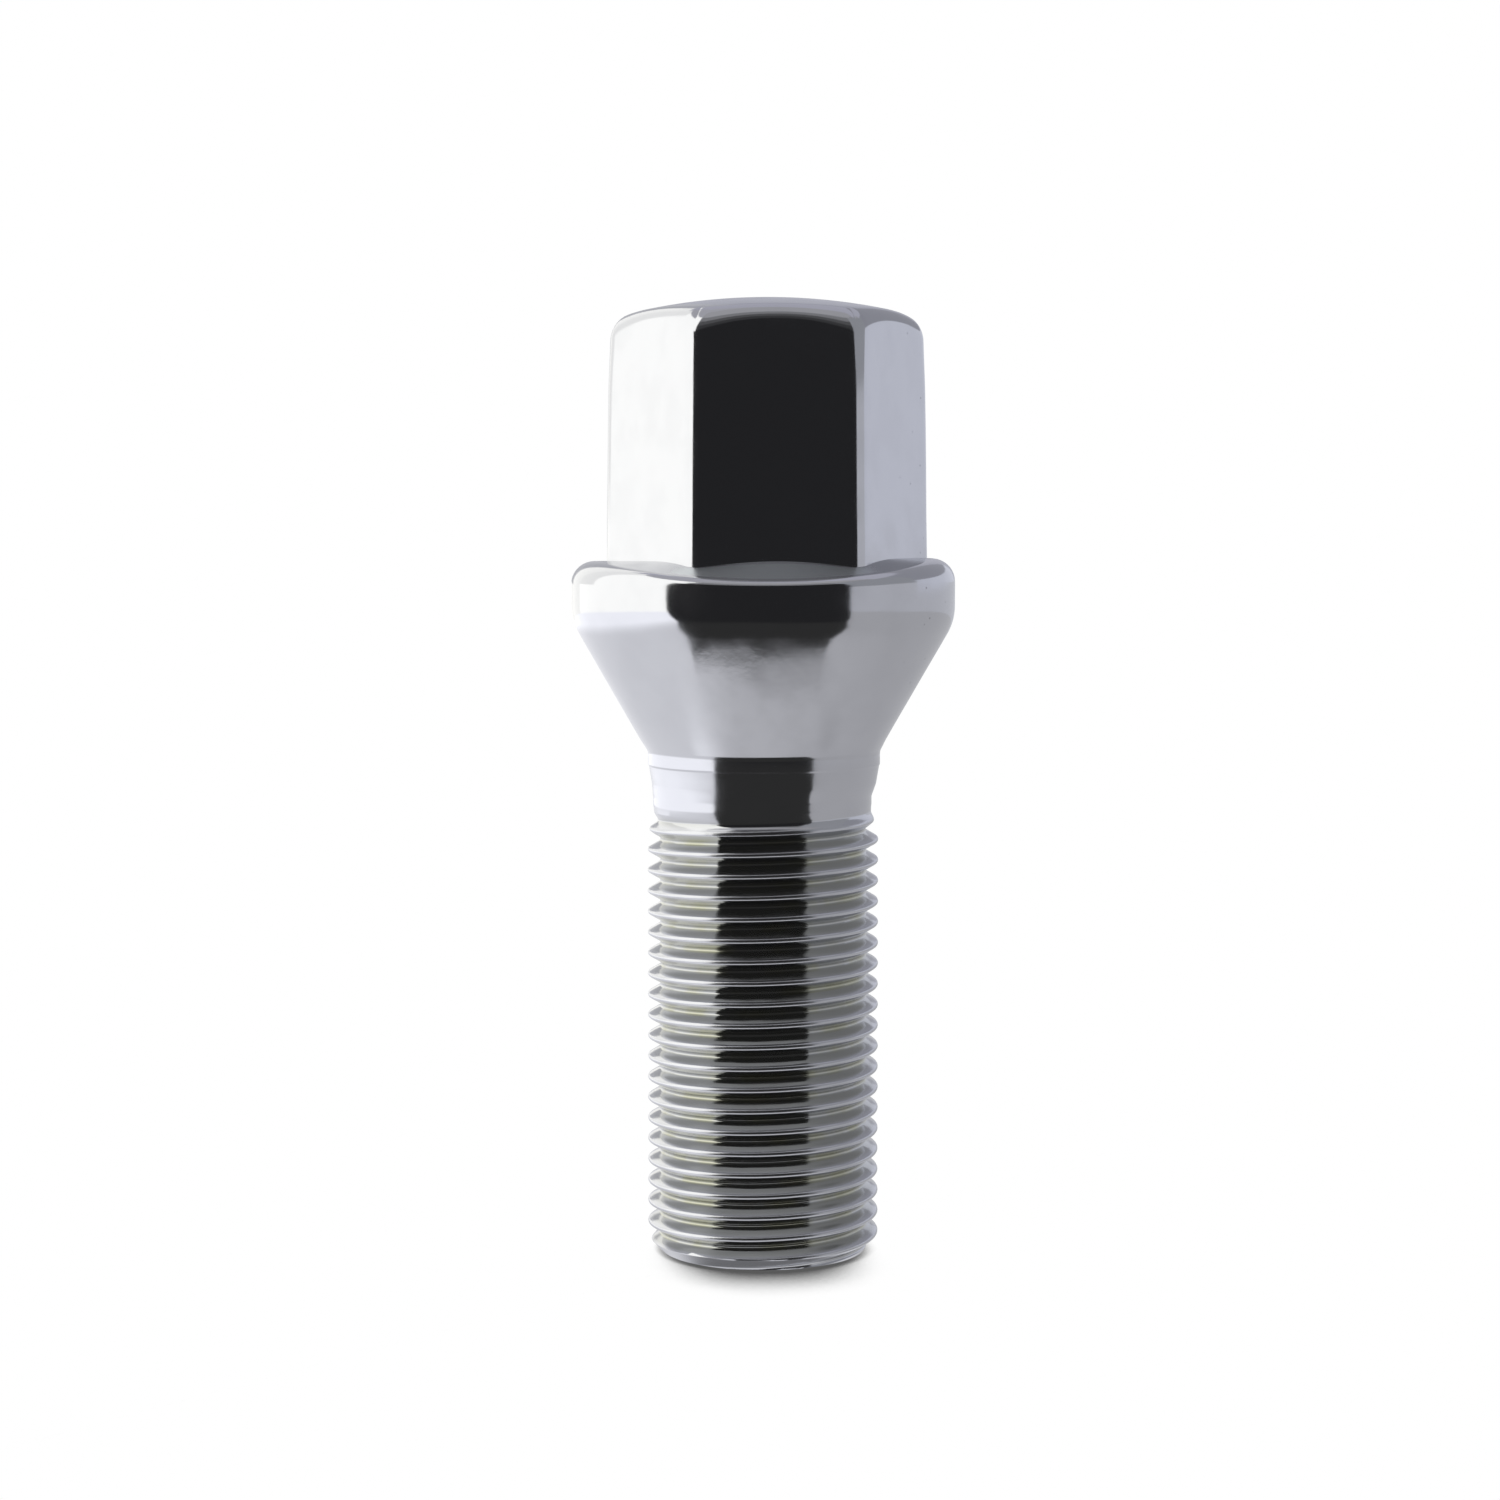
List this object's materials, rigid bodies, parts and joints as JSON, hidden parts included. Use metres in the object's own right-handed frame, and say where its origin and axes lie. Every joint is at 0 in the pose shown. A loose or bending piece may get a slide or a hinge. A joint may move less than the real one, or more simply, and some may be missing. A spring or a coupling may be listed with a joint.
{
  "type": "wheel bolt",
  "caption": "Chrome-plated steel wheel bolt with a domed hexagon head, a round collar with a conical seat and a fine-threaded shank.",
  "frame": {"origin": "centre of the flat end face of the shank, on which the bolt stands", "axes": "+Z along the bolt's axis, from the threaded end to the head; a flat of the hexagon faces -Y"},
  "size_m": [0.023, 0.023, 0.0573],
  "materials": {
    "chrome_plate": "bright chrome plate on forged steel"
  },
  "bodies": {
    "root": {"wheel_bolt": "chrome_plate"}
  },
  "joints": []
}
